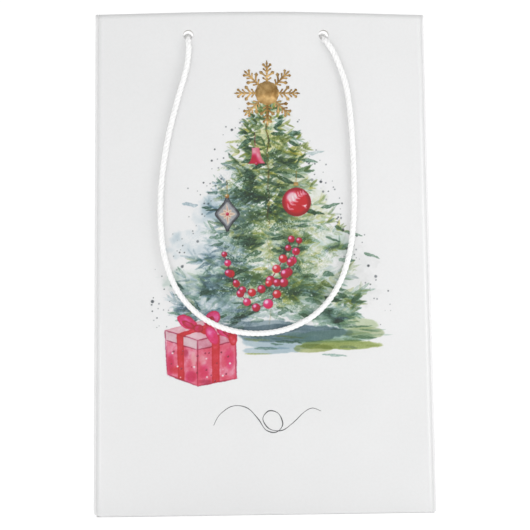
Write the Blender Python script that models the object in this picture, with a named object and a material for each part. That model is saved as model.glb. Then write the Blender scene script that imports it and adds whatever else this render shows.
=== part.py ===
# Paper gift bag with two cord handles, standing open, in metres with +Z up.
# The wide printed face looks along -Y and the bag stands on z = 0.
# Every sheet is a piece of its own, 0.3 mm from the one it is glued to, so that
# the bag can fold flat along its creases.

import math

import bmesh
import bpy
from mathutils import Vector

# ---- driving sizes -------------------------------------------------------
WIDTH = 0.200  # across the printed face
DEPTH = 0.100  # front to back when open
HEIGHT = 0.300
PAPER = 0.0004  # laminated paper
GAP = 0.0003  # glue line between sheets
HEM = 0.040  # turned-in strip round the mouth
CARD = 0.0008  # stiffener inside the front and back hems
CARD_INSET = 0.006  # stiffener and hem ends short of the side creases
CORNER_CLEAR = 0.006  # gusset hems start this far from the corners
HINGE_INSET = 0.0016  # corner crease lines run this far inside the outer faces
HINGE_PROUD = 0.0003  # mid creases run this far outside the gussets
CREASE_RISE = 0.002  # lower crease above half the depth
CREASE_CLEAR = 0.00015  # each side of a crease
BASE_CARD = 0.0010  # loose-cut card glued in the bottom
BASE_CARD_INSET = 0.004
FLAP_REAR_REACH = 0.0613  # outer bottom flap, from the back panel forward
FLAP_LAP = 0.0200  # the front flap is glued this far over it
FLAP_SIDE_REACH = 0.038
FLAP_TAPER = 0.004
JOGGLE = 0.002
SEAM_FLAP = 0.015  # glue flap of the back seam
FOOT_RISE = 0.0115  # lower corner of the gussets' rigid part
HOLE_DIAMETER = 0.006
HOLE_SPACING = 0.082
HOLE_DROP = 0.014  # below the top edge
HOLE_SHIFT = -0.0028  # holes are punched a little left of centre, seen from outside
CORD = 0.0035
STANDOFF = 0.0040  # cord's centre in front of the panel at the hole
KNOT_WIDTH = 0.0080
KNOT_DEPTH = 0.0055
CORD_STEP = 0.0082

# Route of the front loop, seen from the front: across from the midpoint of its
# holes and down from them, in millimetres. A twisted cord hangs a little uneven.
LOOP_ROUTE = (
    (-41.0, 0.0),
    (-40.6, 9.0),
    (-42.2, 21.0),
    (-47.0, 38.0),
    (-53.0, 62.0),
    (-56.8, 86.0),
    (-57.9, 110.0),
    (-55.7, 134.0),
    (-48.0, 155.0),
    (-34.6, 170.0),
    (-18.2, 178.2),
    (0.0, 180.6),
    (18.0, 177.6),
    (34.4, 168.6),
    (46.6, 153.6),
    (54.0, 134.0),
    (57.2, 110.0),
    (57.6, 82.0),
    (56.4, 52.0),
    (53.8, 31.0),
    (48.2, 14.0),
    (43.4, 5.4),
    (41.0, 0.0),
)

# ---- sizes that follow from those ---------------------------------------
HALF_W = WIDTH / 2
HALF_D = DEPTH / 2
CREASE = HALF_D + CREASE_RISE
HOLE_Z = HEIGHT - HOLE_DROP
CARD_IN = PAPER + GAP
HEM_IN = CARD_IN + CARD + GAP
WALL = HEM_IN + PAPER
SIDE_HEM_IN = PAPER + GAP
FLAP_LIFT = PAPER + GAP
FLAP_SIDE_Z = 2 * FLAP_LIFT
BASE_CARD_Z = FLAP_SIDE_Z + PAPER + GAP
PIVOT_Y = HALF_D + STANDOFF

# ---- clear the scene -----------------------------------------------------
for old in list(bpy.data.objects):
    bpy.data.objects.remove(old, do_unlink=True)

bag = bpy.data.collections.new("gift_bag")
bpy.context.scene.collection.children.link(bag)
helpers = bpy.data.collections.new("cutters")
bpy.context.scene.collection.children.link(helpers)
helpers.hide_render = True


# ---- materials -----------------------------------------------------------
def material(name, colour, roughness):
    made = bpy.data.materials.new(name)
    made.use_nodes = True
    shader = made.node_tree.nodes["Principled BSDF"]
    shader.inputs["Base Color"].default_value = (*colour, 1.0)
    shader.inputs["Roughness"].default_value = roughness
    return made


PRINT_PAPER = (0.86, 0.86, 0.85), 0.35
INNER_PAPER = (0.80, 0.80, 0.78), 0.60
GREY_CARD = (0.60, 0.57, 0.52), 0.85
WHITE_CORD = (0.88, 0.88, 0.86), 0.80


# ---- shapes --------------------------------------------------------------
def link(name, mesh, finish, origin=(0.0, 0.0, 0.0)):
    """Make one piece from a mesh, with its origin on the crease it turns about."""
    origin = Vector(origin)
    for vertex in mesh.vertices:
        vertex.co -= origin
    piece = bpy.data.objects.new(name, mesh)
    piece.location = origin
    mesh.materials.append(material(name, *finish))
    bag.objects.link(piece)
    return piece


def prism(name, outline, axis, low, high, finish, origin=(0.0, 0.0, 0.0)):
    """Flat sheet: an outline in the other two axes, between two places on axis."""
    flat = bmesh.new()

    def place(u, v, w):
        return {"X": (w, u, v), "Y": (u, w, v), "Z": (u, v, w)}[axis]

    bottom = [flat.verts.new(place(u, v, low)) for u, v in outline]
    top = [flat.verts.new(place(u, v, high)) for u, v in outline]
    flat.faces.new(bottom)
    flat.faces.new(top)
    count = len(outline)
    for i in range(count):
        j = (i + 1) % count
        flat.faces.new((bottom[i], bottom[j], top[j], top[i]))
    bmesh.ops.recalc_face_normals(flat, faces=flat.faces)
    mesh = bpy.data.meshes.new(name)
    flat.to_mesh(mesh)
    flat.free()
    return link(name, mesh, finish, origin)


def box_outline(u0, u1, v0, v1):
    return ((u0, v0), (u1, v0), (u1, v1), (u0, v1))


def layer(side, inset, thickness):
    """Low and high place of a sheet that lies inset behind an outer face."""
    outer = side * (abs(side) - inset) / abs(side)
    inner = side * (abs(side) - inset - thickness) / abs(side)
    return min(outer, inner), max(outer, inner)


def hole_x(side, across):
    """Where the left (-1) or right (1) hole of a wide face is."""
    return across * HOLE_SPACING / 2 - side * HOLE_SHIFT


def punch(piece, side):
    """Cut the two cord holes of a wide face through one sheet."""
    for across in (-1, 1):
        drill = bpy.data.meshes.new(f"punch_{piece.name}_{across}")
        shape = bmesh.new()
        bmesh.ops.create_cone(
            shape,
            cap_ends=True,
            segments=32,
            radius1=HOLE_DIAMETER / 2,
            radius2=HOLE_DIAMETER / 2,
            depth=0.012,
        )
        shape.to_mesh(drill)
        shape.free()
        cutter = bpy.data.objects.new(drill.name, drill)
        cutter.rotation_euler = (math.pi / 2, 0.0, 0.0)
        cutter.location = (hole_x(side, across), side * HALF_D, HOLE_Z)
        cutter.display_type = "WIRE"
        cutter.hide_render = True
        helpers.objects.link(cutter)
        cut = piece.modifiers.new("cord hole", "BOOLEAN")
        cut.operation = "DIFFERENCE"
        cut.solver = "EXACT"
        cut.object = cutter


def knot(name, side, across):
    """Cord end: a ball tied behind the hem and the stub that fills the hole."""
    seat = HALF_D - WALL - GAP
    tip = PIVOT_Y - CORD / 2 - GAP
    rings = []
    for i in range(1, 10):
        turn = math.pi * i / 12
        rings.append(
            (
                KNOT_WIDTH / 2 * math.sin(turn),
                seat - KNOT_DEPTH / 2 - KNOT_DEPTH / 2 * math.cos(turn),
            )
        )
    rings.append((CORD / 2, seat))
    rings.append((CORD / 2, tip))
    shape = bmesh.new()
    spokes = 20
    loops = []
    for radius, y in rings:
        loop = []
        for k in range(spokes):
            turn = 2 * math.pi * k / spokes
            x = hole_x(side, across) + radius * math.cos(turn)
            z = HOLE_Z + radius * math.sin(turn)
            loop.append(shape.verts.new((x, side * y, z)))
        loops.append(loop)
    for first, second in zip(loops, loops[1:]):
        for k in range(spokes):
            after = (k + 1) % spokes
            shape.faces.new((first[k], first[after], second[after], second[k]))
    shape.faces.new(loops[0])
    shape.faces.new(loops[-1])
    bmesh.ops.recalc_face_normals(shape, faces=shape.faces)
    mesh = bpy.data.meshes.new(name)
    shape.to_mesh(mesh)
    shape.free()
    return link(name, mesh, WHITE_CORD)


def smooth_route(points, step):
    """Points at even steps along a smooth curve through the route."""
    dense = []
    last = len(points) - 1
    for i in range(last):
        before = points[max(i - 1, 0)]
        start, end = points[i], points[i + 1]
        after = points[min(i + 2, last)]
        for k in range(24):
            t = k / 24
            dense.append(
                0.5
                * (
                    2 * start
                    + (end - before) * t
                    + (2 * before - 5 * start + 4 * end - after) * t**2
                    + (3 * start - before - 3 * end + after) * t**3
                )
            )
    dense.append(points[-1].copy())
    along = [0.0]
    for first, second in zip(dense, dense[1:]):
        along.append(along[-1] + (second - first).length)
    count = round(along[-1] / step)
    even = []
    j = 0
    for k in range(count + 1):
        goal = along[-1] * k / count
        while j < len(along) - 2 and along[j + 1] < goal:
            j += 1
        share = (goal - along[j]) / (along[j + 1] - along[j])
        even.append(dense[j].lerp(dense[j + 1], share))
    return even


def handle(name, side):
    """Hanging cord loop in front of one wide face, hinged at its two holes."""
    lowest = max(down for _, down in LOOP_ROUTE)
    route = []
    for across, down in LOOP_ROUTE:
        lean = (STANDOFF - CORD / 2 - 0.0009) * (down / lowest) ** 0.8
        y = side * (PIVOT_Y - lean)
        x = -side * (HOLE_SHIFT + across / 1000)
        route.append(Vector((x, y, HOLE_Z - down / 1000)))
    curve = bpy.data.curves.new(name, "CURVE")
    curve.dimensions = "3D"
    curve.bevel_depth = CORD / 2
    curve.bevel_resolution = 2
    curve.use_fill_caps = True
    spline = curve.splines.new("POLY")
    places = smooth_route(route, CORD_STEP)
    origin = Vector((0.0, side * PIVOT_Y, HOLE_Z))
    spline.points.add(len(places) - 1)
    for point, place in zip(spline.points, places):
        point.co = (*(place - origin), 1.0)
    curve.materials.append(material(name, *WHITE_CORD))
    loop = bpy.data.objects.new(name, curve)
    loop.location = origin
    bag.objects.link(loop)
    return loop


# ---- wide faces ----------------------------------------------------------
# The front runs to the ground; the back ends at the lower crease, where the
# bottom folds up behind it.
for word, side, foot in (("front", -1, 0.0), ("back", 1, CREASE + CREASE_CLEAR)):
    panel = prism(
        f"{word}_panel",
        box_outline(-HALF_W, HALF_W, foot, HEIGHT),
        "Y",
        *layer(side * HALF_D, 0.0, PAPER),
        PRINT_PAPER,
    )
    punch(panel, side)
    hem_half = HALF_W - CARD_INSET + 0.002
    hem = prism(
        f"{word}_hem",
        box_outline(-hem_half, hem_half, HEIGHT - HEM, HEIGHT),
        "Y",
        *layer(side * HALF_D, HEM_IN, PAPER),
        INNER_PAPER,
    )
    punch(hem, side)
    card_half = HALF_W - CARD_INSET
    card = prism(
        f"{word}_stiffener_card",
        box_outline(-card_half, card_half, HEIGHT - HEM + 0.002, HEIGHT - 0.001),
        "Y",
        *layer(side * HALF_D, CARD_IN, CARD),
        GREY_CARD,
    )
    punch(card, side)
    for name, across in (("left", -1), ("right", 1)):
        knot(f"{word}_{name}_knot", side, across)

# Strip of the same sheet that closes the tube, glued inside the back panel.
prism(
    "back_seam_flap",
    box_outline(
        HALF_W - CARD_INSET - SEAM_FLAP,
        HALF_W - CARD_INSET,
        CREASE + 0.003,
        HEIGHT - HEM - 0.002,
    ),
    "Y",
    *layer(HALF_D, CARD_IN, PAPER),
    INNER_PAPER,
)

# ---- gussets -------------------------------------------------------------
# Each side is creased down its middle. The front half keeps a rigid corner that
# stays clear of the bottom as that folds up; below the crease the paper bends.
near = -(HALF_D - PAPER - GAP)
far = HALF_D - PAPER - GAP
shoulder = near + 0.0095
for word, side in (("left", -1), ("right", 1)):
    outer = side * HALF_W
    mid_line = (side * (HALF_W + HINGE_PROUD), 0.0, 0.0)
    prism(
        f"{word}_gusset_front",
        (
            (near, FOOT_RISE),
            (shoulder, FOOT_RISE),
            (-CREASE_CLEAR, CREASE + CREASE_CLEAR),
            (-CREASE_CLEAR, HEIGHT),
            (near, HEIGHT),
        ),
        "X",
        *layer(outer, 0.0, PAPER),
        PRINT_PAPER,
        (side * (HALF_W - HINGE_INSET), -(HALF_D - HINGE_INSET), 0.0),
    )
    prism(
        f"{word}_gusset_rear",
        box_outline(CREASE_CLEAR, far, CREASE + CREASE_CLEAR, HEIGHT),
        "X",
        *layer(outer, 0.0, PAPER),
        PRINT_PAPER,
        mid_line,
    )
    prism(
        f"{word}_gusset_front_hem",
        box_outline(-HALF_D + CORNER_CLEAR, -0.002, HEIGHT - HEM, HEIGHT),
        "X",
        *layer(outer, SIDE_HEM_IN, PAPER),
        INNER_PAPER,
        (side * (HALF_W - HINGE_INSET), -(HALF_D - HINGE_INSET), 0.0),
    )
    prism(
        f"{word}_gusset_rear_hem",
        box_outline(0.002, HALF_D - CORNER_CLEAR, HEIGHT - HEM, HEIGHT),
        "X",
        *layer(outer, SIDE_HEM_IN, PAPER),
        INNER_PAPER,
        mid_line,
    )
    prism(
        f"{word}_gusset_foot",
        (
            (near, 0.0),
            (far, 0.0),
            (far, CREASE - CREASE_CLEAR),
            (-CREASE_CLEAR, CREASE - CREASE_CLEAR),
            (shoulder, FOOT_RISE - 2 * CREASE_CLEAR),
            (near, FOOT_RISE - 2 * CREASE_CLEAR),
        ),
        "X",
        *layer(outer, 0.0, PAPER),
        PRINT_PAPER,
    )

# ---- lower back and bottom -----------------------------------------------
prism(
    "back_foot",
    box_outline(-HALF_W, HALF_W, 0.0, CREASE - CREASE_CLEAR),
    "Y",
    *layer(HALF_D, 0.0, PAPER),
    PRINT_PAPER,
    (0.0, HALF_D, CREASE),
)

flap_half = HALF_W - PAPER - GAP
prism(
    "bottom_flap_rear",
    (
        (-flap_half, far),
        (-flap_half + FLAP_TAPER, far - FLAP_REAR_REACH),
        (flap_half - FLAP_TAPER, far - FLAP_REAR_REACH),
        (flap_half, far),
    ),
    "Z",
    0.0,
    PAPER,
    PRINT_PAPER,
)

# The front flap lies on the ground and steps up over the rear flap's edge.
lap_edge = far - FLAP_REAR_REACH + FLAP_LAP
step = far - FLAP_REAR_REACH - 2 * JOGGLE
prism(
    "bottom_flap_front",
    (
        (near, 0.0),
        (step, 0.0),
        (step + JOGGLE, FLAP_LIFT),
        (lap_edge, FLAP_LIFT),
        (lap_edge, FLAP_LIFT + PAPER),
        (step + JOGGLE - GAP, FLAP_LIFT + PAPER),
        (step - GAP, PAPER),
        (near, PAPER),
    ),
    "X",
    -flap_half + 0.001,
    flap_half - 0.001,
    PRINT_PAPER,
)

# End flaps, folded in first, with the 45 degree edges that the corners leave.
for word, side in (("left", -1), ("right", 1)):
    reach = flap_half - FLAP_SIDE_REACH
    short = far - FLAP_SIDE_REACH
    prism(
        f"bottom_flap_{word}",
        (
            (side * flap_half, near),
            (side * flap_half, far),
            (side * reach, short),
            (side * reach, -short),
        ),
        "Z",
        FLAP_SIDE_Z,
        FLAP_SIDE_Z + PAPER,
        PRINT_PAPER,
    )

prism(
    "base_insert_card",
    box_outline(
        -HALF_W + BASE_CARD_INSET,
        HALF_W - BASE_CARD_INSET,
        -HALF_D + BASE_CARD_INSET,
        HALF_D - BASE_CARD_INSET,
    ),
    "Z",
    BASE_CARD_Z,
    BASE_CARD_Z + BASE_CARD,
    GREY_CARD,
)

# ---- handles -------------------------------------------------------------
handle("front_handle_cord", -1)
handle("back_handle_cord", 1)
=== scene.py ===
"""A white paper gift bag with twisted cord handles and a watercolour fir printed on its front."""

import math

import bmesh
import bpy
import numpy as np
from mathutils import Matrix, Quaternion, Vector


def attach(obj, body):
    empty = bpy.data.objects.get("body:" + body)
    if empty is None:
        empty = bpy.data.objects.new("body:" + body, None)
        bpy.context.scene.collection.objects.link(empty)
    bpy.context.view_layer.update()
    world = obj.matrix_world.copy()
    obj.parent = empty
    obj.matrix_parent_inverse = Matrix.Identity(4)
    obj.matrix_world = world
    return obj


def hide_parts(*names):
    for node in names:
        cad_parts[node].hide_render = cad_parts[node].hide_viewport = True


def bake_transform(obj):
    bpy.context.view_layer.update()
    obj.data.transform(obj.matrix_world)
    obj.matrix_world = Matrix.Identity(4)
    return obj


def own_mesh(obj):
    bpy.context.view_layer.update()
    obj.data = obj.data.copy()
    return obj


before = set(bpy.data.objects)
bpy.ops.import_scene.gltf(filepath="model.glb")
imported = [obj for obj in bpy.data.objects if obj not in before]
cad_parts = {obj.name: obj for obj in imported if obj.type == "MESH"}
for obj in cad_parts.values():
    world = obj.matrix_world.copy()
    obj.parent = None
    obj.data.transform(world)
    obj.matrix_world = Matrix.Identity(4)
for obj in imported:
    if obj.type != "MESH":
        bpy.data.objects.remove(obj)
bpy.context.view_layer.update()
scene = bpy.context.scene

# ---- camera ---------------------------------------------------------------
# A long lens a little left of the bag and near its foot, looking slightly up
# at the front face.
eye = bpy.data.cameras.new("camera")
eye.lens = 92.2
eye.sensor_width = 36.0
eye.clip_start, eye.clip_end = 0.05, 20.0
camera = bpy.data.objects.new("camera", eye)
yaw, pitch, roll = math.radians(2.3), math.radians(7.14), math.radians(-0.67)
ahead = Vector((math.sin(yaw) * math.cos(pitch), math.cos(yaw) * math.cos(pitch), math.sin(pitch)))
camera.location = (-0.031, -0.85, 0.046)
camera.rotation_mode = "QUATERNION"
camera.rotation_quaternion = ahead.to_track_quat("-Z", "Y") @ Quaternion((0.0, 0.0, 1.0), roll)
scene.collection.objects.link(camera)
scene.camera = camera

# ---- cord handles ----------------------------------------------------------
# Each handle is one length of soft white cord, three strands laid up together.
# It comes out through two punched holes and hangs in a loop on the wide face.
CORD = 0.0035  # cord's thickness
CORD_LAY = 0.0088  # length of one full twist
STEP = 0.0008  # between stops along a cord
HOLE_SPACING, HOLE_SHIFT = 0.082, -0.0028  # between the holes, and how far left they sit
HOLE_Z = 0.286
HALF_D = 0.050  # half the bag's depth
PIVOT_Y = HALF_D + 0.0040  # cord's centre in front of the face
# millimetres across from the middle and down from the holes
LOOP_ROUTE = (
    (-41.0, 0.0), (-40.6, 9.0), (-42.2, 21.0), (-47.0, 38.0), (-53.0, 62.0), (-56.8, 86.0),
    (-57.9, 110.0), (-55.7, 134.0), (-48.0, 155.0), (-34.6, 170.0), (-18.2, 178.2), (0.0, 180.6),
    (18.0, 177.6), (34.4, 168.6), (46.6, 153.6), (54.0, 134.0), (57.2, 110.0), (57.6, 82.0),
    (56.4, 52.0), (53.8, 31.0), (48.2, 14.0), (43.4, 5.4), (41.0, 0.0),
)


def link(name, data):
    """An object at the origin that holds a mesh, a curve or a light."""
    made = bpy.data.objects.new(name, data)
    scene.collection.objects.link(made)
    return made


def mesh_of_curve(name, curve):
    """The tubes of a curve with a bevel, as a mesh."""
    shape = link(name, curve)
    mesh = bpy.data.meshes.new_from_object(shape.evaluated_get(bpy.context.evaluated_depsgraph_get()))
    bpy.data.objects.remove(shape)
    return mesh


def round_curve(name, radius, smoothness):
    """An empty curve that sweeps a round cross-section, with its ends closed."""
    curve = bpy.data.curves.new(name, "CURVE")
    curve.dimensions = "3D"
    curve.bevel_depth = radius
    curve.bevel_resolution = smoothness
    curve.use_fill_caps = True
    return curve


def ground_look(name, colour, roughness):
    """A material, its node tree, its shader and its Object coordinate."""
    made = bpy.data.materials.new(name)
    made.use_nodes = True
    tree = made.node_tree
    shader = tree.nodes["Principled BSDF"]
    shader.inputs["Base Color"].default_value = (*colour, 1.0)
    shader.inputs["Roughness"].default_value = roughness
    where = tree.nodes.new("ShaderNodeTexCoord").outputs["Object"]
    return made, tree, shader, where


def noise(tree, where, scale, detail, stretch=(1.0, 1.0, 1.0)):
    """Soft noise on the object, finer as scale grows."""
    turned = tree.nodes.new("ShaderNodeMapping")
    turned.inputs["Scale"].default_value = stretch
    tree.links.new(where, turned.inputs["Vector"])
    cloud = tree.nodes.new("ShaderNodeTexNoise")
    cloud.inputs["Scale"].default_value = scale
    cloud.inputs["Detail"].default_value = detail
    tree.links.new(turned.outputs["Vector"], cloud.inputs["Vector"])
    return cloud.outputs["Fac"]


def blend_tones(tree, share, dark, light, low=0.3, high=0.7):
    """A colour that runs from dark to light as share runs from low to high."""
    scale = tree.nodes.new("ShaderNodeValToRGB")
    for end, position, colour in zip(scale.color_ramp.elements, (low, high), (dark, light)):
        end.position = position
        end.color = (*colour, 1.0)
    tree.links.new(share, scale.inputs["Fac"])
    return scale.outputs["Color"]


def multiplied(tree, colour, by, share):
    """One colour multiplied by another, as far as share says."""
    both = tree.nodes.new("ShaderNodeMix")
    both.data_type, both.blend_type = "RGBA", "MULTIPLY"
    both.inputs["Factor"].default_value = share
    tree.links.new(colour, both.inputs["A"])
    tree.links.new(by, both.inputs["B"])
    return both.outputs["Result"]


def relief(tree, shader, height, depth, strength):
    """Fine bumps of the material's own grain."""
    bump = tree.nodes.new("ShaderNodeBump")
    bump.inputs["Strength"].default_value = strength
    bump.inputs["Distance"].default_value = depth
    tree.links.new(height, bump.inputs["Height"])
    tree.links.new(bump.outputs["Normal"], shader.inputs["Normal"])


def cord_finish():
    """Soft white yarn, dull and a little translucent."""
    made, tree, shader, where = ground_look("white_cord", (0.95, 0.95, 0.94), 0.8)
    shader.inputs["Sheen Weight"].default_value = 0.35
    shader.inputs["Sheen Roughness"].default_value = 0.5
    shader.inputs["Subsurface Weight"].default_value = 0.12
    shader.inputs["Subsurface Radius"].default_value = (0.002, 0.002, 0.002)
    shader.inputs["Subsurface Scale"].default_value = 0.5
    yarn = noise(tree, where, 900.0, 2.0, (1.0, 1.0, 0.25))
    tone = blend_tones(tree, yarn, (0.88, 0.88, 0.875), (0.97, 0.97, 0.965), 0.25, 0.65)
    tree.links.new(tone, shader.inputs["Base Color"])
    relief(tree, shader, yarn, 0.00025, 0.7)
    return made


def run_along(points):
    """How far along a line each of its points lies."""
    return np.concatenate([[0.0], np.cumsum(np.linalg.norm(np.diff(points, axis=0), axis=1))])


def evenly(points, step):
    """Points at even steps along a smooth curve through the given ones."""
    dense = []
    last = len(points) - 1
    for i in range(last):
        before, start, end, after = (points[min(max(i + k, 0), last)] for k in (-1, 0, 1, 2))
        for k in range(24):
            t = k / 24
            dense.append(0.5 * (
                2 * start + (end - before) * t
                + (2 * before - 5 * start + 4 * end - after) * t**2
                + (3 * start - before - 3 * end + after) * t**3
            ))
    dense.append(points[-1])
    dense = np.array(dense)
    along = run_along(dense)
    goals = np.linspace(0.0, along[-1], round(along[-1] / step) + 1)
    return np.stack([np.interp(goals, along, dense[:, k]) for k in range(3)], axis=1)


def laid_cord(name, line, thickness):
    """Three strands twisted round a centre line, as one mesh of closed tubes."""
    tangents = np.gradient(line, axis=0)
    tangents /= np.linalg.norm(tangents, axis=1)[:, None]
    across = Vector(tangents[0]).orthogonal().normalized()
    curve = round_curve(name, thickness * 0.315, 3)
    frames = []
    for tangent in tangents:
        forward = Vector(tangent)
        across = (across - forward * across.dot(forward)).normalized()
        frames.append((across.copy(), forward.cross(across)))
    run = run_along(line)
    for strand in range(3):
        spline = curve.splines.new("POLY")
        spline.points.add(len(line) - 1)
        for point, centre, (u, v), far in zip(spline.points, line, frames, run):
            turn = 2 * math.pi * (far / CORD_LAY + strand / 3)
            off = (u * math.cos(turn) + v * math.sin(turn)) * thickness * 0.185
            point.co = (*(Vector(centre) + off), 1.0)
    mesh = mesh_of_curve(name, curve)
    welded = bmesh.new()
    welded.from_mesh(mesh)
    bmesh.ops.remove_doubles(welded, verts=welded.verts, dist=1e-6)
    bmesh.ops.recalc_face_normals(welded, faces=welded.faces)
    welded.to_mesh(mesh)
    welded.free()
    mesh.name = name
    mesh.shade_smooth()
    mesh.materials.clear()
    mesh.materials.append(white_cord)
    return link(name, mesh)


def loop_line(side):
    """The loop's centre line: over the lip of one hole, down and round, and up to the other."""
    lowest = max(down for _, down in LOOP_ROUTE)
    (left, _), (right, _) = LOOP_ROUTE[0], LOOP_ROUTE[-1]
    points = [
        (left, 0.3, 0.0462), (left, 0.8, 0.0492), (left, 2.6, 0.0520),
        (left + 0.1, 5.6, PIVOT_Y - 0.0003),
    ]
    for sideways, down in LOOP_ROUTE[1:-1]:
        lean = (0.0040 - CORD / 2 - 0.0009) * (down / lowest) ** 0.8
        points.append((sideways, down, PIVOT_Y - lean))
    points += [(right + 0.7, 2.6, 0.0520), (right, 0.8, 0.0492), (right, 0.3, 0.0462)]
    placed = [
        np.array((-side * (HOLE_SHIFT + sideways / 1000), side * y, HOLE_Z - down / 1000))
        for sideways, down, y in points
    ]
    return evenly(placed, STEP)


white_cord = cord_finish()
for word, side in (("front", -1), ("back", 1)):
    line = loop_line(side)
    handle = laid_cord(f"{word}_handle", line, CORD)
    long = float(run_along(line)[-1])
    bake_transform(handle)
    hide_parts(f"{word}_handle_cord")

# ---- knots ------------------------------------------------------------------
# Behind each hole the cord's end is tied in an overhand knot, too big to pull
# back through the card.
KNOT_REACH = 0.0024  # half the knot's width to the middle of its cord
KNOT_BACK = 0.0052  # knot's middle behind the face
TAIL = ((0.0016, -0.0018, -0.0030), (0.0022, -0.0024, -0.0062), (0.0024, -0.0026, -0.0092))
for word, side in (("front", -1), ("back", 1)):
    for name, across in (("left", -1), ("right", 1)):
        centre_x = across * HOLE_SPACING / 2 - side * HOLE_SHIFT
        seat = side * (HALF_D - KNOT_BACK)
        turns = np.linspace(0.0, 2 * math.pi, 90)
        wide = KNOT_REACH * (0.74 + 0.34 * np.cos(3 * turns))
        tied = np.stack([
            centre_x + wide * np.cos(2 * turns),
            seat - side * 0.0011 * np.sin(3 * turns),
            HOLE_Z - 0.0004 + wide * np.sin(2 * turns),
        ], axis=1)
        tail = np.array((centre_x, seat, HOLE_Z)) + np.array(TAIL) * (across, side, 1.0)
        route = [*tied[:-8:6], *tail]
        knot = laid_cord(f"{word}_{name}_knot_tied", evenly(route, STEP), CORD * 0.92)
        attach(knot, word)
        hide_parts(f"{word}_{name}_knot")

# ---- the sheet of paper ------------------------------------------------------
# One sheet of white art paper, printed and laminated with gloss film, creased
# into a tube. Handling has bowed the wide faces and pinched the gussets in.
HALF_W, HEIGHT = 0.100, 0.300
PAPER = 0.0004
CORNER = 0.0016  # radius of the four upright edges
RIM = 0.0011  # from the outer face of a gusset to the inside of its hem, half that of a wide face
ROLL = 0.0005  # height of the turned rim's bend
SWELL = 0.0030  # how far the wide faces bow out at the mouth
ARCH = 0.0011  # how far the front's rim rises in the middle
PINCH = 0.0030  # how far the gussets are drawn in at the mouth
CREASE = 0.052  # height of the back's lower crease
TOE = 0.0010  # rounding of the edges on the ground
# middle across, middle up, half width, half height, depth: soft hollows in the front
DENTS = (
    (-0.056, 0.268, 0.014, 0.013, -0.00055),
    (0.030, 0.266, 0.011, 0.016, -0.00045),
    (-0.080, 0.235, 0.020, 0.050, 0.00045),
    (0.078, 0.262, 0.018, 0.030, -0.00040),
    (0.072, 0.190, 0.022, 0.050, 0.00050),
    (-0.066, 0.120, 0.030, 0.045, -0.00045),
    (0.020, 0.055, 0.050, 0.018, 0.00030),
    (0.080, 0.060, 0.018, 0.035, -0.00035),
)


def ease(x):
    """A smooth step from 0 to 1."""
    x = np.clip(x, 0.0, 1.0)
    return x * x * (3 - 2 * x)


def settle(points):
    """Where points of the plain folded sheet lie once the bag stands open."""
    p = np.array(points, float).reshape(-1, 3)
    x, y, z = p[:, 0].copy(), p[:, 1].copy(), p[:, 2].copy()
    up = np.clip(z / HEIGHT, 0.0, 1.0)
    side = np.clip(np.abs(x) / HALF_W, 0.0, 1.0)
    out = y / HALF_D
    open_arch = (1 - side**2) ** 2
    swell = SWELL * open_arch * up**2.2
    for at_x, at_z, wide, high, depth in DENTS:
        hollow = np.exp(-(((x - at_x) / wide) ** 2) - ((z - at_z) / high) ** 2)
        swell += (out < 0) * depth * hollow * (1 - side**6)
    swell += 0.00012 * np.sin(95 * x + 31 * z) * np.sin(58 * z - 20 * x) * (1 - side**6) * ease(z / 0.04)
    p[:, 1] += out * swell
    p[:, 2] += ARCH * (1 - side**2) * up**6 * np.clip(-out, 0.0, 1.0)
    fold = np.clip(1 - np.sqrt(y * y + 0.0006**2) / (HALF_D - CORNER), 0.0, 1.0)
    wave = 0.00025 * np.sin(140 * y) * np.sin(60 * z + 2.0 * np.sign(x))
    p[:, 0] -= np.sign(x) * side**8 * (PINCH * fold * up**1.6 + wave * fold * 2)
    for corner_side, round_off in ((-1, 0.0034), (1, 0.0014)):
        u = (corner_side * x - HALF_W + round_off) / round_off
        v = (round_off - z) / round_off
        held = (u > 0) & (v > 0)
        size = np.hypot(u, v) + 1e-9
        pull = np.where(held, np.maximum(u, v) / size, 1.0)
        p[:, 0] -= np.where(held, corner_side * u * (1 - pull) * round_off, 0.0)
        p[:, 2] += np.where(held, v * (1 - pull) * round_off, 0.0)
    toe = np.clip(1 - z / TOE, 0.0, 1.0)
    inward = TOE * (1 - np.sqrt(1 - toe**2))
    p[:, 1] -= np.sign(y) * inward * (np.abs(out) > 0.985)
    p[:, 0] -= np.sign(x) * inward * (side > 0.985)
    return p


def paper_finish(name, colour, gloss):
    """White paper with faint fibres, under a coat of clear film if gloss is set."""
    made, tree, shader, where = ground_look(name, colour, 0.42 if gloss else 0.72)
    if gloss:
        shader.inputs["Coat Weight"].default_value = 0.55
        shader.inputs["Coat Roughness"].default_value = 0.10
    fibre = noise(tree, where, 620.0, 4.0)
    cloud = noise(tree, where, 26.0, 2.0)
    pulp = [c * 0.985 for c in colour]
    tone = blend_tones(tree, cloud, pulp, colour)
    flecks = blend_tones(tree, fibre, (0.93, 0.93, 0.925), (1.0, 1.0, 1.0), 0.3, 0.6)
    tree.links.new(multiplied(tree, tone, flecks, 0.25 if gloss else 0.6), shader.inputs["Base Color"])
    relief(tree, shader, fibre, 0.00002 if gloss else 0.00005, 0.5)
    return made


def grid_of(columns, rows):
    """An open grid whose vertices are handed back in rows, bottom row first."""
    shape = bmesh.new()
    bmesh.ops.create_grid(shape, x_segments=columns - 1, y_segments=rows - 1, size=1.0)
    ordered = sorted(shape.verts, key=lambda v: (round(v.co.y, 5), round(v.co.x, 5)))
    return shape, ordered


def outward_of(line):
    """The level direction out of the bag at each point of a line that runs anticlockwise."""
    way = np.gradient(np.array(line, float), axis=0)
    way /= np.linalg.norm(way, axis=1)[:, None]
    return np.stack([way[:, 1], -way[:, 0]], axis=1)


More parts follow.
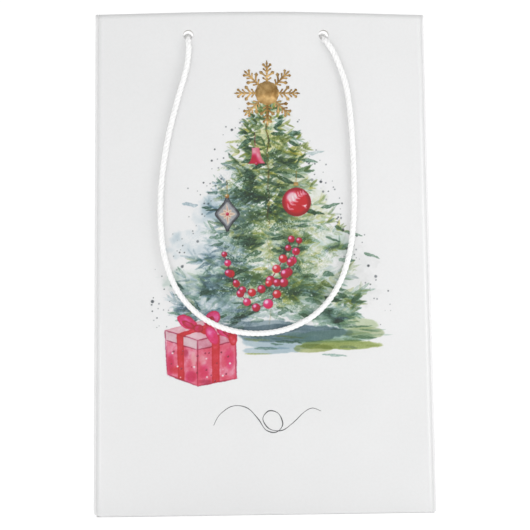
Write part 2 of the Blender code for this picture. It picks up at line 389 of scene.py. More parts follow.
def folded_sheet(line, profile):
    """Sheet along line, whose rows are (depth behind the outer face, height)."""
    line = np.array(line, float)
    out = outward_of(line)
    shape, ordered = grid_of(len(line), len(profile))
    places = np.array([
        (*(line[i] - out[i] * depth), height)
        for depth, height in profile for i in range(len(line))
    ])
    for vert, place in zip(ordered, places):
        vert.co = place
    return shape


def punch(shape, centres, radius=0.003):
    """Punch round cord holes through a sheet that faces along Y."""
    for centre in centres:
        def off(co):
            """How far a point lies from the middle of the hole."""
            return math.hypot(co.x - centre, co.z - HOLE_Z)
        inside = [f for f in shape.faces if off(f.calc_center_median()) < radius]
        bmesh.ops.delete(shape, geom=inside, context="FACES")
        for vert in shape.verts:
            if vert.is_boundary and off(vert.co) < 1.6 * radius:
                turn = math.atan2(vert.co.z - HOLE_Z, vert.co.x - centre)
                vert.co.x = centre + radius * math.cos(turn)
                vert.co.z = HOLE_Z + radius * math.sin(turn)


def finish_sheet(name, shape, finishes, thickness=PAPER, round_rim=0.0, even=True):
    """Lay a bmesh sheet into its settled place and give it its thickness."""
    loose = [v for v in shape.verts if not v.link_faces]
    bmesh.ops.delete(shape, geom=loose, context="VERTS")
    mesh = bpy.data.meshes.new(name)
    shape.to_mesh(mesh)
    shape.free()
    flat = np.empty(len(mesh.vertices) * 3)
    mesh.vertices.foreach_get("co", flat)
    mesh.vertices.foreach_set("co", settle(flat).ravel())
    mesh.shade_smooth()
    for finish in finishes:
        mesh.materials.append(finish)
    made = link(name, mesh)
    wall = made.modifiers.new("paper thickness", "SOLIDIFY")
    wall.thickness = thickness
    wall.offset = -1.0
    wall.use_even_offset = even
    if len(finishes) > 1:
        wall.material_offset = 1
        wall.material_offset_rim = 1
    if round_rim:
        soft = made.modifiers.new("worn edge", "BEVEL")
        soft.width = round_rim
        soft.segments = 2
        soft.limit_method = "ANGLE"
    return made


def stops(low, high, step, fine=(), reach=0.0054, fine_step=0.0005):
    """Even stops between two ends, closer together around each fine place."""
    found = list(np.linspace(low, high, max(2, round((high - low) / step) + 1)))
    for place in fine:
        found = [s for s in found if abs(s - place) > reach + step * 0.3 or s in (low, high)]
        found += list(np.arange(place - reach, place + reach + 1e-9, fine_step))
    return sorted(s for s in found if low <= s <= high)


def corner_arc(x, y, start, end):
    """Seven stops round an upright edge, from one angle in degrees to another."""
    turns = np.radians(np.linspace(start, end, 7))
    return [(x + CORNER * math.cos(a), y + CORNER * math.sin(a)) for a in turns]


def hole_places(side):
    """Where the two cord holes are across the front (-1) or the back (1)."""
    return [across * HOLE_SPACING / 2 - side * HOLE_SHIFT for across in (-1, 1)]


outer_paper = paper_finish("laminated_paper", (0.78, 0.782, 0.784), True)
bare_paper = paper_finish("paper_inside", (0.80, 0.80, 0.785), False)
flat_half = HALF_W - CORNER
gusset_half = HALF_D - CORNER
toe_heights = [0.0002, 0.0005, 0.0009, 0.0016]  # close stops where the toe is rounded

# ---- front face ----------------------------------------------------------------
# The widest panel of the sheet. It runs from the ground to the turned-in rim
# and carries the print.
across_stops = stops(-flat_half, flat_half, 0.003, hole_places(-1))
heights = stops(0.0, HEIGHT - ROLL, 0.003, (HOLE_Z,))
heights[1:1] = toe_heights
front = folded_sheet([(x, -HALF_D) for x in across_stops], [(0.0, z) for z in heights])
punch(front, hole_places(-1))
front_face = finish_sheet("front_face", front, (outer_paper, bare_paper))
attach(front_face, "front")
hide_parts("front_panel")

# ---- gussets ---------------------------------------------------------------------
# Each narrow side is creased down its middle, so it folds inwards in two halves.
# Below, a slanting crease leaves a foot that belongs to the folded bottom.
MID = 0.0006  # the middle crease's half width
gusset_heights = stops(0.0, HEIGHT - ROLL, 0.004)
foot_heights = stops(0.0, CREASE, 0.004)
foot_heights[1:1] = toe_heights
gusset_heights[1:1] = toe_heights


def side_line(side, low, high, round_front=False):
    """Stops along a narrow side in the anticlockwise way, with its front edge's arc if asked."""
    ys = stops(low, high, 0.004)
    ys = sorted(set(ys + [y for y in (-0.0015, -MID, 0.0, MID, 0.0015) if low < y < high]))
    line = [(side * HALF_W, y) for y in ys]
    if round_front:
        line = corner_arc(side * flat_half, -gusset_half, 270, 360 if side > 0 else 180)[:-1] + line
    return line if side > 0 else line[::-1]


def cut_foot(shape, keep_above):
    """Cut a narrow side along the slanting crease from its front toe to its middle."""
    slant = Vector((0.0, -CREASE, gusset_half)).normalized()
    bmesh.ops.bisect_plane(
        shape, geom=shape.verts[:] + shape.edges[:] + shape.faces[:], dist=1e-6,
        plane_co=(0.0, 0.0, CREASE), plane_no=slant,
        clear_inner=keep_above, clear_outer=not keep_above,
    )


for word, side in (("left", -1), ("right", 1)):
    line = side_line(side, -gusset_half, -MID, True)
    half = folded_sheet(line, [(0.0, z) for z in gusset_heights])
    cut_foot(half, True)
    piece = finish_sheet(f"{word}_gusset_front_half", half, (outer_paper, bare_paper))
    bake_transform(piece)
    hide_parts(f"{word}_gusset_front")

    line = side_line(side, -MID, gusset_half)
    half = folded_sheet(line, [(0.0, CREASE)] + [(0.0, z) for z in gusset_heights if z > CREASE + 0.001])
    piece = finish_sheet(f"{word}_gusset_rear_half", half, (outer_paper, bare_paper))
    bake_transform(piece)
    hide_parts(f"{word}_gusset_rear")

    line = side_line(side, -gusset_half, gusset_half)
    foot = folded_sheet(line, [(0.0, z) for z in foot_heights])
    cut_foot(foot, False)
    piece = finish_sheet(f"{word}_gusset_toe", foot, (outer_paper, bare_paper))
    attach(piece, "bottom")
    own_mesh(piece)
    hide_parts(f"{word}_gusset_foot")

# ---- back face ---------------------------------------------------------------------
# The other wide panel. It ends at a level crease, below which the sheet swings
# under when the bag is folded flat.
back_line = corner_arc(flat_half, gusset_half, 0, 90)[:-1]
back_line += [(x, HALF_D) for x in stops(-flat_half, flat_half, 0.004, hole_places(1))[::-1]]
back_line += corner_arc(-flat_half, gusset_half, 90, 180)[1:]
back_heights = stops(CREASE + MID, HEIGHT - ROLL, 0.004, (HOLE_Z,))
back = folded_sheet(back_line, [(0.0, z) for z in back_heights])
punch(back, hole_places(1))
back_face = finish_sheet("back_face", back, (outer_paper, bare_paper))
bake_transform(back_face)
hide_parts("back_panel")

low_heights = foot_heights[:-1] + [CREASE + k * MID / 2 for k in (-2, -1, 0, 1, 2)]
low_line = [p for i, p in enumerate(back_line) if i < 8 or i > len(back_line) - 9 or i % 4 == 0]
lower = folded_sheet(low_line, [(0.0, z) for z in low_heights])
lower_back = finish_sheet("lower_back_face", lower, (outer_paper, bare_paper))
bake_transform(lower_back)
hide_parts("back_foot")

# ---- turned-in rim --------------------------------------------------------------------
# The top 40 mm of the sheet is folded over to the inside. On the wide faces it
# wraps a strip of grey card that carries the cord holes.
HEM = 0.040


def over_the_top(depth, low):
    """Rows of a hem: up the last of the outer face, over the fold and down the inside."""
    bend = depth / 2
    rows = [(0.0, HEIGHT - ROLL - 1e-5)]
    for a in np.linspace(0, math.pi, 9)[1:-1]:
        rows.append((bend - bend * math.cos(a), HEIGHT - ROLL + ROLL * math.sin(a)))
    return rows + [(depth, z) for z in stops(low, HEIGHT - ROLL, 0.003, (HOLE_Z,))[::-1]]


for word, side in (("front", -1), ("back", 1)):
    inner = stops(-flat_half + 0.0006, flat_half - 0.0006, 0.003, hole_places(side))
    line = [(x, side * HALF_D) for x in (inner if side < 0 else inner[::-1])]
    hem = folded_sheet(line, over_the_top(2 * RIM, HEIGHT - HEM))
    punch(hem, hole_places(side))
    piece = finish_sheet(f"{word}_turned_hem", hem, (outer_paper, bare_paper))
    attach(piece, word)
    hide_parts(f"{word}_hem")

for word, side in (("left", -1), ("right", 1)):
    hem = folded_sheet(side_line(side, -gusset_half, -MID, True), over_the_top(RIM, HEIGHT - HEM))
    piece = finish_sheet(f"{word}_front_turned_hem", hem, (outer_paper, bare_paper))
    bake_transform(piece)
    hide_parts(f"{word}_gusset_front_hem")

    hem = folded_sheet(side_line(side, -MID, gusset_half), over_the_top(RIM, HEIGHT - HEM))
    piece = finish_sheet(f"{word}_rear_turned_hem", hem, (outer_paper, bare_paper))
    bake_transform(piece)
    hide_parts(f"{word}_gusset_rear_hem")

# ---- stiffener cards ------------------------------------------------------------------
# Strips of recycled grey board inside both wide hems, punched with the paper.
# They keep the cords from tearing out.
CARD = 0.0008
CARD_INSET = 0.006  # its ends are short of the gussets


def board_finish():
    """Dull recycled board with dark and pale specks."""
    made, tree, shader, where = ground_look("grey_board", (0.56, 0.53, 0.48), 0.88)
    pulp = noise(tree, where, 420.0, 5.0, (1.0, 1.0, 0.5))
    fleck = noise(tree, where, 1500.0, 1.0)
    tone = blend_tones(tree, pulp, (0.46, 0.43, 0.38), (0.62, 0.59, 0.54))
    specks = blend_tones(tree, fleck, (0.55, 0.52, 0.48), (1.0, 1.0, 1.0), 0.30, 0.42)
    tree.links.new(multiplied(tree, tone, specks, 0.5), shader.inputs["Base Color"])
    relief(tree, shader, pulp, 0.00008, 0.6)
    return made


grey_board = board_finish()
for word, side in (("front", -1), ("back", 1)):
    xs = stops(-HALF_W + CARD_INSET, HALF_W - CARD_INSET, 0.003, hole_places(side))
    line = [(x, side * HALF_D) for x in (xs if side < 0 else xs[::-1])]
    rows = stops(HEIGHT - HEM + 0.002, HEIGHT - 0.0014, 0.003, (HOLE_Z,))
    card = folded_sheet(line, [(0.0006, z) for z in rows])
    punch(card, hole_places(side))
    piece = finish_sheet(f"{word}_card_strip", card, (grey_board,), CARD)
    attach(piece, word)
    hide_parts(f"{word}_stiffener_card")

# ---- seam -------------------------------------------------------------------------------
# The sheet's last 15 mm is glued inside the back panel and closes the tube.
# It stops short of the hem above and the crease below.
seam_x = stops(HALF_W - 0.021, HALF_W - 0.006, 0.0025)
seam_z = stops(CREASE + 0.003, HEIGHT - HEM - 0.002, 0.004)
seam = folded_sheet([(x, HALF_D) for x in seam_x[::-1]], [(0.0007, z) for z in seam_z])
seam_flap = finish_sheet("glued_seam_flap", seam, (bare_paper,))
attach(seam_flap, "back")
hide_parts("back_seam_flap")

# ---- folded bottom ---------------------------------------------------------------------
# Two end flaps are folded in first, then the long rear and front flaps are
# glued over them from below.
INSET = 0.0007  # inside the walls
base_half_w, base_half_d = HALF_W - INSET, HALF_D - INSET
rear_edge = base_half_d - 0.0613  # where the rear flap ends
LAP = 0.020  # how far the front flap is glued over it
SIDE_REACH = 0.038
SIDE_LOW = 0.0014  # underside of the side flaps' sheet, above both long flaps


def flap(name, corners, low, rows=25, steps_over=None):
    """A bottom flap cut from a grid by the lines between its corners, which run anticlockwise."""
    xs, ys = [c[0] for c in corners], [c[1] for c in corners]
    shape, ordered = grid_of(41, rows)
    for vert in ordered:
        vert.co.x = min(xs) + (vert.co.x + 1) / 2 * (max(xs) - min(xs))
        vert.co.y = min(ys) + (vert.co.y + 1) / 2 * (max(ys) - min(ys))
        vert.co.z = low
    for start, end in zip(corners, corners[1:] + corners[:1]):
        along = Vector((end[0] - start[0], end[1] - start[1], 0.0)).normalized()
        bmesh.ops.bisect_plane(
            shape, geom=shape.verts[:] + shape.edges[:] + shape.faces[:], dist=1e-6,
            plane_co=(*start, low), plane_no=(along.y, -along.x, 0.0), clear_outer=True,
        )
    if steps_over is not None:
        for vert in shape.verts:
            vert.co.z += steps_over(vert.co.y)
    for face in shape.faces:
        face.normal_flip()
    bmesh.ops.remove_doubles(shape, verts=shape.verts, dist=5e-6)
    piece = finish_sheet(name, shape, (outer_paper, bare_paper), even=False)
    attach(piece, "bottom")
    return piece


rear = flap("rear_bottom_flap", [
    (-base_half_w + 0.004, rear_edge), (base_half_w - 0.004, rear_edge),
    (base_half_w, base_half_d), (-base_half_w, base_half_d),
], 0.0)
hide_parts("bottom_flap_rear")
fore_half = base_half_w - 0.001
fore = flap("front_bottom_flap", [
    (-fore_half, -base_half_d), (fore_half, -base_half_d),
    (fore_half, rear_edge + LAP), (-fore_half, rear_edge + LAP),
], 0.0, 91, lambda y: 0.0007 * float(ease((y - rear_edge + 0.004) / 0.0033)))
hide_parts("bottom_flap_front")
for word, side in (("left", -1), ("right", 1)):
    inner_x, inner_y = side * (base_half_w - SIDE_REACH), base_half_d - SIDE_REACH
    corners = [
        (side * base_half_w, base_half_d), (inner_x, inner_y),
        (inner_x, -inner_y), (side * base_half_w, -base_half_d),
    ]
    end = flap(f"{word}_bottom_flap", corners if side > 0 else corners[::-1], SIDE_LOW)
    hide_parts(f"bottom_flap_{word}")

# ---- base insert -------------------------------------------------------------------------
# A rectangle of grey board, cut a little small and glued down on the flaps,
# keeps the bottom square.
board_z, board_thick = 0.0021, 0.0010
BOARD_INSET = 0.004
shape, ordered = grid_of(25, 13)
for vert in ordered:
    across, along = vert.co.x * (HALF_W - BOARD_INSET), vert.co.y * (HALF_D - BOARD_INSET)
    vert.co = (across, along, board_z + board_thick)
insert = finish_sheet("base_board", shape, (grey_board,), board_thick, 0.0002)
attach(insert, "bottom")
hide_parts("base_insert_card")

# ---- printed fir -------------------------------------------------------------------------
# A watercolour fir printed in the middle of the front. It is painted here dab
# by dab on a fine canvas in millimetres, which becomes a film of ink further on.
DOTS = 4.0  # painted cells per millimetre
LEFT, RIGHT, LOW, TOP = -74.0, 80.0, 76.0, 279.0
COLUMNS = int((RIGHT - LEFT) * DOTS)
ROWS = int((TOP - LOW) * DOTS)
rng = np.random.default_rng(11)
ink = np.zeros((ROWS, COLUMNS, 3))
across = LEFT + (np.arange(COLUMNS) + 0.5) / DOTS
upward = LOW + (np.arange(ROWS) + 0.5) / DOTS


def clouds(cell, seed):
    """Soft random pattern from 0 to 1 with patches about cell millimetres wide."""
    dice = np.random.default_rng(seed)
    grid = dice.random((int((TOP - LOW) / cell) + 3, int((RIGHT - LEFT) / cell) + 3))
    u, v = (across - LEFT) / cell, (upward - LOW) / cell
    i, j = u.astype(int), v.astype(int)
    fu, fv = u - i, v - j
    fu, fv = fu * fu * (3 - 2 * fu), (fv * fv * (3 - 2 * fv))[:, None]
    low = grid[j][:, i] * (1 - fu) + grid[j][:, i + 1] * fu
    high = grid[j + 1][:, i] * (1 - fu) + grid[j + 1][:, i + 1] * fu
    return low * (1 - fv) + high * fv


def blend_clouds(cell, seed):
    """Clouds with two finer layers over them."""
    return (clouds(cell, seed) + 0.5 * clouds(cell / 2, seed + 1) + 0.25 * clouds(cell / 4, seed + 2)) / 1.75


GRAIN = clouds(0.45, 1)
MOTTLE = blend_clouds(3.0, 5)
POOLS = blend_clouds(11.0, 9)


def tone(r, g, b):
    """How much each of red, green and blue a paint of this colour holds back."""
    return -np.log(np.array([r, g, b]) / 255)


def window(x0, x1, z0, z1):
    """The rows and columns of the canvas between these limits."""
    i0, i1 = np.searchsorted(across, (x0, x1))
    j0, j1 = np.searchsorted(upward, (z0, z1))
    return slice(j0, j1), slice(i0, i1)


def brush(box, load, paint):
    """Glaze one colour over what is there; a full brush covers more than it darkens."""
    load = np.clip(load, 0, 1.2)[..., None]
    ink[box] += load * (paint - 0.62 * ink[box])


def dab(x, z, length, width, angle, paint, strength=1.0, bend=0.0):
    """One leaf-shaped touch of a loaded brush, from its heel at x, z."""
    c, s = math.cos(angle), math.sin(angle)
    reach = length * c, length * s
    pad = width + abs(bend) * length
    box = window(min(x, x + reach[0]) - pad, max(x, x + reach[0]) + pad,
                 min(z, z + reach[1]) - pad, max(z, z + reach[1]) + pad)
    dx, dz = across[box[1]] - x, (upward[box[0]] - z)[:, None]
    if dx.size == 0 or dz.size == 0:
        return
    along = (dx * c + dz * s) / length
    inside = np.clip(along, 0, 1)
    off = dz * c - dx * s - bend * length * inside * inside + (MOTTLE[box] - 0.5) * width * 0.8
    depth = width * 0.98 * np.sqrt(inside) * (1 - inside) ** 0.75 - np.abs(off)
    cover = ease(depth / 0.28 + 0.5) * (along > 0) * (along < 1)
    rim = np.exp(-((depth - 0.15) / 0.22) ** 2)
    load = cover * (0.62 + 0.45 * rim + 0.7 * (GRAIN[box] - 0.5) + 0.7 * (MOTTLE[box] - 0.5))
    brush(box, load * strength, paint)


def wash(x, z, wide, high, paint, strength, ragged, soft):
    """A pool of thin paint with an uneven edge."""
    far = max(wide, high) * 1.3
    box = window(x - far, x + far, z - far, z + far)
    dx, dz = across[box[1]] - x, (upward[box[0]] - z)[:, None]
    uneven = POOLS[box] - 0.5 + 0.35 * (MOTTLE[box] - 0.5)
    rim = np.sqrt((dx / wide) ** 2 + (dz / high) ** 2) + ragged * uneven
    cover = ease((1 - rim) / soft)
    edge = np.exp(-((rim - 1 + soft * 0.35) / 0.05) ** 2)
    pooled = (0.75 + 0.6 * (POOLS[box] - 0.5)) * (1 + 0.25 * (GRAIN[box] - 0.5))
    brush(box, cover * (pooled + 0.18 * edge) * strength, paint)


def lift(mask, box, share):
    """Take paint off where the mask is, as a damp sponge does."""
    ink[box] *= (1 - share * mask)[..., None]


OLIVE, SAP, DEEP = tone(158, 156, 48), tone(108, 122, 48), tone(34, 66, 44)
BLUE, SLATE, TEAL = tone(112, 146, 164), tone(62, 88, 100), tone(88, 132, 108)
MOSS, PALE = tone(122, 142, 84), tone(190, 206, 202)

TRUNK = 3.6  # how far right of the middle the stem stands
APEX, BASE = 250.0, 112.0
TOP_BOUGH = APEX - 6


def down_tree(z):
    """0 at the fir's tip and 1 at its foot."""
    return min(max((APEX - z) / (APEX - BASE), 0), 1)


def half_width(z):
    """How far the fir spreads to each side at height z."""
    return 1.5 + 60 * down_tree(z) ** 0.84


def leaf_paint(x, z):
    """Olive near the stem and upper right, blue to the left, teal low down."""
    t = down_tree(z)
    near = math.exp(-((x - TRUNK) / 9) ** 2)
    left = min(max((-x + 2) / 28, 0), 1) * min(max((t - 0.12) / 0.25, 0), 1)
    right = min(max((x - 4) / 30, 0), 1)
    choice = [
        (OLIVE, (0.35 + 1.6 * near * (1 - 0.6 * t) + 0.7 * right * (1 - t)) * (1 - 0.9 * left)),
        (SAP, (0.6 + 0.5 * (1 - t)) * (1 - 0.8 * left)),
        (MOSS, 0.9 * (1 - t) + 0.5 * right),
        (DEEP, 0.30 + 0.9 * near + 0.25 * t),
        (BLUE, 0.15 + 3.4 * left),
        (SLATE, 0.1 + 1.0 * left + 0.2 * t),
        (TEAL, 0.35 + 0.9 * t * right + 0.5 * t),
        (PALE, 0.3 + 0.4 * right * t),
    ]
    weight = np.array([w for _, w in choice])
    pick = rng.choice(len(choice), p=weight / weight.sum())
    other = rng.choice(len(choice), p=weight / weight.sum())
    share = rng.uniform(0, 0.45)
    return choice[pick][0] * (1 - share) + choice[other][0] * share


# thin first washes
for x, z, wide, high, paint, strength in (
    (2, 222, 12, 14, OLIVE, 0.30),
    (-13, 200, 16, 12, PALE, 0.55),
    (14, 205, 15, 14, MOSS, 0.42),
    (-22, 182, 22, 14, BLUE, 0.55),
    (24, 182, 22, 13, MOSS, 0.35),
    (-30, 160, 26, 14, BLUE, 0.50),
    (28, 160, 26, 13, TEAL, 0.35),
    (0, 168, 28, 18, SAP, 0.35),
    (-28, 138, 30, 14, TEAL, 0.45),
    (26, 138, 34, 14, TEAL, 0.40),
    (0, 128, 48, 12, SLATE, 0.35),
    (52, 140, 19, 22, tone(214, 216, 214), 0.8),
):
    wash(x, z, wide, high, paint, strength, ragged=0.9, soft=0.5)

def bough(z0, side, reach, t, strength, deep=0.0):
    """A fan of dabs along a drooping line from the stem, t of the way down the tree."""
    rise = math.tan(math.radians(62 - 72 * t**0.5 + rng.uniform(-9, 9)))
    sag = 0.36 + 0.22 * t
    tip = 0.26 + 0.22 * t
    steps = max(3, int(reach / 3.0))
    for k in range(-1, steps):
        q = (k + rng.uniform(0.1, 0.9)) / steps
        x = TRUNK + side * reach * q
        z = z0 + reach * (rise * max(q, 0) * (1 - 0.45 * q) - sag * q * q + tip * q**4)
        slope = rise * (1 - 0.9 * q) - 2 * sag * q + 4 * tip * q**3
        heading = math.atan2(slope, side)
        size = (0.85 + 0.3 * math.sin(3.1 * q)) * (0.62 + 0.5 * t)
        thin = -0.25 + 2.1 * POOLS[int((z - LOW) * DOTS), int((x - LEFT) * DOTS)]
        paint = leaf_paint(x, z) * (1 - deep) + DEEP * deep
        for fan in (-1, 1):
            turn = fan * side * rng.uniform(0.2, 0.9)
            for _ in range(1 + (rng.random() < 0.5)):
                dab(x, z, rng.uniform(6.0, 11.0) * size, rng.uniform(1.3, 2.6) * size,
                    heading + turn * rng.uniform(0.6, 1.2), paint,
                    strength * thin * rng.uniform(0.5, 1.0), bend=rng.uniform(-0.18, 0.18))
        if q > 0.80:
            for _ in range(3):
                dab(x, z, rng.uniform(5, 9) * (0.6 + 0.5 * t), rng.uniform(1.0, 2.0),
                    heading + rng.uniform(-0.55, 0.55), leaf_paint(x, z),
                    strength * rng.uniform(0.7, 1.1))


# boughs from the top down, and then more at random
BOUGHS = 22
SPREAD = APEX - BASE - 20
for row in range(BOUGHS):
    t = (row + 0.5) / BOUGHS
    z0 = TOP_BOUGH - t * SPREAD
    for side in (-1, 1):
        bough(z0, side, half_width(z0) * rng.uniform(0.78, 1.12), t, 0.60)
        bough(z0 + rng.uniform(-2, 2), side, half_width(z0) * rng.uniform(0.45, 0.8), t, 0.62)
for row in range(34):
    t = rng.uniform(0.05, 0.97)
    z0 = TOP_BOUGH - t * SPREAD
    side = rng.choice((-1, 1))
    bough(z0, side, half_width(z0) * rng.uniform(0.3, 0.6), t, 0.72, deep=rng.uniform(0, 0.7))

# leading shoot, and low twigs that brush the ground
for k in range(9):
    dab(TRUNK, 236 + 1.6 * k, rng.uniform(5, 8), rng.uniform(1.2, 2.0),
        math.pi / 2 + rng.uniform(-0.6, 0.6), leaf_paint(TRUNK, 236), 0.8)
for k in range(90):
    x = rng.uniform(-26, 46)
    side = 1 if x > TRUNK else -1
    dab(x, rng.uniform(112, 122), rng.uniform(6, 11), rng.uniform(1.6, 3.0),
        math.atan2(rng.uniform(-0.5, 0.12), side),
        (DEEP, TEAL, SLATE)[rng.integers(3)], rng.uniform(0.4, 0.85))

# dark stem, seen between the boughs
for k in range(70):
    z = 246 - k * 1.9
    dab(TRUNK + 0.5 * math.sin(k * 0.7), z, 3.4, rng.uniform(0.7, 1.3),
        -math.pi / 2 + rng.uniform(-0.2, 0.2), tone(104, 84, 40),
        rng.uniform(0.35, 0.8) * (1.0 if k < 38 else 0.45))
# deep shadows under the tiers
for z, wide in ((205, 14), (187, 22), (170, 26), (150, 34), (133, 44), (121, 40)):
    for _ in range(int(wide / 2.2)):
        x = TRUNK + rng.normal(0, wide * 0.42)
        dab(x, z + rng.normal(0, 2.2), rng.uniform(4, 9), rng.uniform(1.2, 2.6),
            rng.choice((0.1, math.pi - 0.1)) + rng.uniform(-0.5, 0.3),
            DEEP if x > -8 else SLATE, rng.uniform(0.4, 0.9))


# ---- printed snow and ground -------------------------------------------------------------
# Paint lifted off the fir while wet for mist and snow, less along the stem near
# the top, then the ground it stands on and the spatter around it.
mist = ease((blend_clouds(15.0, 23) - 0.44) / 0.16)
stem = np.exp(-((across - TRUNK) / 11) ** 2) * ease((upward - 160) / 30)[:, None]
ink *= (1 - 0.80 * mist * (1 - 0.8 * stem) * (0.75 + 0.5 * (MOTTLE - 0.5)))[..., None]
for k in range(240):
    t = rng.uniform(0.12, 0.98)
    z = TOP_BOUGH - t * (APEX - BASE - 10)
    x = TRUNK + rng.normal(0, 0.42) * half_width(z)
    side = 1 if x > TRUNK else -1
    dab(x, z, rng.uniform(6, 13), rng.uniform(1.4, 3.2), math.atan2(rng.uniform(-0.55, 0.3), side),
        DEEP if rng.random() < 0.45 else leaf_paint(x, z), rng.uniform(0.35, 0.95),
        bend=rng.uniform(-0.15, 0.15))

# snow: paint sponged off in soft drifts, then specks of bare paper
for x, z, wide, high, share in (
    (-26, 205, 13, 9, 0.95), (-17, 199, 11, 8, 0.85), (8, 172, 28, 6, 0.75), (36, 168, 16, 7, 0.7),
    (-4, 152, 26, 6, 0.6), (26, 146, 18, 7, 0.65), (-8, 133, 28, 7, 0.7), (10, 123, 28, 5, 0.7),
    (-16, 222, 9, 7, 0.7), (-38, 166, 13, 9, 0.65), (-34, 146, 14, 6, 0.55), (44, 150, 14, 9, 0.65),
    (18, 205, 10, 5, 0.5), (-6, 184, 10, 4, 0.5), (26, 190, 12, 6, 0.7), (-24, 190, 12, 7, 0.6),
    (12, 222, 7, 5, 0.5), (30, 156, 14, 8, 0.6), (-22, 156, 12, 8, 0.6), (2, 196, 7, 6, 0.45),
):
    box = window(x - 1.5 * wide, x + 1.5 * wide, z - 1.6 * high, z + 1.6 * high)
    u, v = (across[box[1]] - x) / wide, ((upward[box[0]] - z) / high)[:, None]
    reachable = ease(1.25 - np.sqrt(u * u + v * v) + 0.9 * (MOTTLE[box] - 0.5))
    speckle = ease((GRAIN[box] - 0.42) / 0.2) * 0.65 + 0.35 * MOTTLE[box]
    lift(reachable * speckle * 1.25, box, share)
for _ in range(800):
    t = rng.beta(2.2, 1.6)
    z = APEX - 12 - t * (APEX - BASE - 12)
    x = TRUNK + rng.normal(0, 0.42) * half_width(z)
    size = rng.uniform(0.16, 0.42)
    box = window(x - size, x + size, z - size, z + size)
    lift(np.full(ink[box].shape[:2], 1.0), box, rng.uniform(0.3, 0.85))

# ground under the tree, brushed in level strokes
for x, z, wide, high, paint, strength in (
    (18, 108, 36, 5.5, SLATE, 0.75), (-2, 112, 26, 4, SLATE, 0.5), (12, 103, 24, 5, BLUE, 0.55),
    (40, 106, 28, 4.2, TEAL, 0.5), (44, 101, 24, 3.2, tone(122, 142, 62), 0.85),
    (60, 108, 12, 4, MOSS, 0.5), (4, 98, 18, 2.4, BLUE, 0.45),
    (56, 113, 13, 4, tone(170, 190, 140), 0.7), (30, 99, 14, 2.6, SAP, 0.5),
):
    wash(x, z, wide, high, paint, strength, ragged=0.55, soft=0.16)
for _ in range(46):
    x, z = rng.uniform(-12, 62), rng.normal(106, 4.0)
    dab(x, z, rng.uniform(7, 18), rng.uniform(0.8, 2.0), rng.normal(0, 0.06), leaf_paint(x, 116),
        rng.uniform(0.15, 0.5))

# fine spatter off the brush
for _ in range(150):
    side = rng.choice((-1, 1))
    z = rng.uniform(112, 245)
    x = TRUNK + side * (half_width(z) * rng.uniform(0.95, 1.1) + abs(rng.normal(0, 7)))
    size = rng.uniform(0.2, 0.5) * (1 + (rng.random() < 0.12))
    box = window(x - 1.5, x + 1.5, z - 1.5, z + 1.5)
    if not ink[box].size:
        continue
    gap = size - np.hypot(across[box[1]] - x, (upward[box[0]] - z)[:, None])
    brush(box, ease(gap / 0.25 + 0.5) * rng.uniform(0.3, 1.0), tone(74, 80, 84))

# ---- printed ornaments -------------------------------------------------------------------
# Strings of berries, a bell, a bauble, a glass drop and a wrapped present, in
# thicker paint that hides the fir. They share its canvas.
CRIMSON, PINK, SCARLET = tone(196, 14, 62), tone(230, 44, 112), tone(216, 34, 50)
ROSE, BLUSH, WINE = tone(236, 106, 134), tone(248, 214, 208), tone(128, 10, 36)
GILT, SOOT, BARE = tone(178, 132, 62), tone(58, 60, 66), tone(254, 253, 251)


def body(box, depth, paint, strength=1.0, rim=0.35, patchy=0.7, hide=0.97):
    """Thick paint inside the line where depth is nought, hiding what is under it."""
    cover = ease(depth / 0.22 + 0.5)
    outline = np.exp(-((depth - 0.2) / 0.3) ** 2)
    uneven = patchy * (MOTTLE[box] - 0.5) + 0.25 * (GRAIN[box] - 0.5) + rim * outline
    load = cover * strength * (0.85 + uneven)
    ink[box] = ink[box] * (1 - hide * cover)[..., None] + np.clip(load, 0, 1.6)[..., None] * paint


def around(x, z, reach):
    """A square of the canvas, with each cell's distance across and up from its middle."""
    box = window(x - reach, x + reach, z - reach, z + reach)
    return box, across[box[1]] - x, (upward[box[0]] - z)[:, None]


def ball(x, z, radius, paint, strength=1.0):
    """A shaded bead: dark below and to the right, a light left above."""
    box, dx, dz = around(x, z, radius + 1)
    depth = radius - np.hypot(dx, dz)
    body(box, depth, paint, strength, rim=0.3, patchy=0.4)
    shade = ease(0.5 + (dx * 0.45 - dz * 0.75) / (1.7 * radius)) * ease(depth / 0.2 + 0.5)
    brush(box, 0.55 * shade, paint * 1.5)
    shine = ease((0.46 * radius - np.hypot(dx + 0.34 * radius, dz - 0.36 * radius)) / (0.3 * radius) + 0.3)
    lift(shine, box, 0.85)


def plane(corners, paint, strength=1.0, rim=0.35, patchy=0.8, hide=0.97):
    """A flat patch between corners given anticlockwise."""
    xs, zs = [c[0] for c in corners], [c[1] for c in corners]
    box = window(min(xs) - 1, max(xs) + 1, min(zs) - 1, max(zs) + 1)
    dx, dz = across[box[1]], upward[box[0]][:, None]
    depth = np.full((dz.shape[0], dx.shape[0]), 99.0)
    for (x0, z0), (x1, z1) in zip(corners, corners[1:] + corners[:1]):
        long = math.hypot(x1 - x0, z1 - z0)
        depth = np.minimum(depth, ((x1 - x0) * (dz - z0) - (z1 - z0) * (dx - x0)) / long)
    depth = depth + 0.5 * (MOTTLE[box] - 0.5)
    body(box, depth, paint, strength, rim, patchy, hide)


def thread(points, paint, width, strength):
    """A thin line through the points."""
    for (x0, z0), (x1, z1) in zip(points, points[1:]):
        long = math.hypot(x1 - x0, z1 - z0)
        dab(x0, z0, long * 1.04, width * 2.6, math.atan2(z1 - z0, x1 - x0), paint, strength)


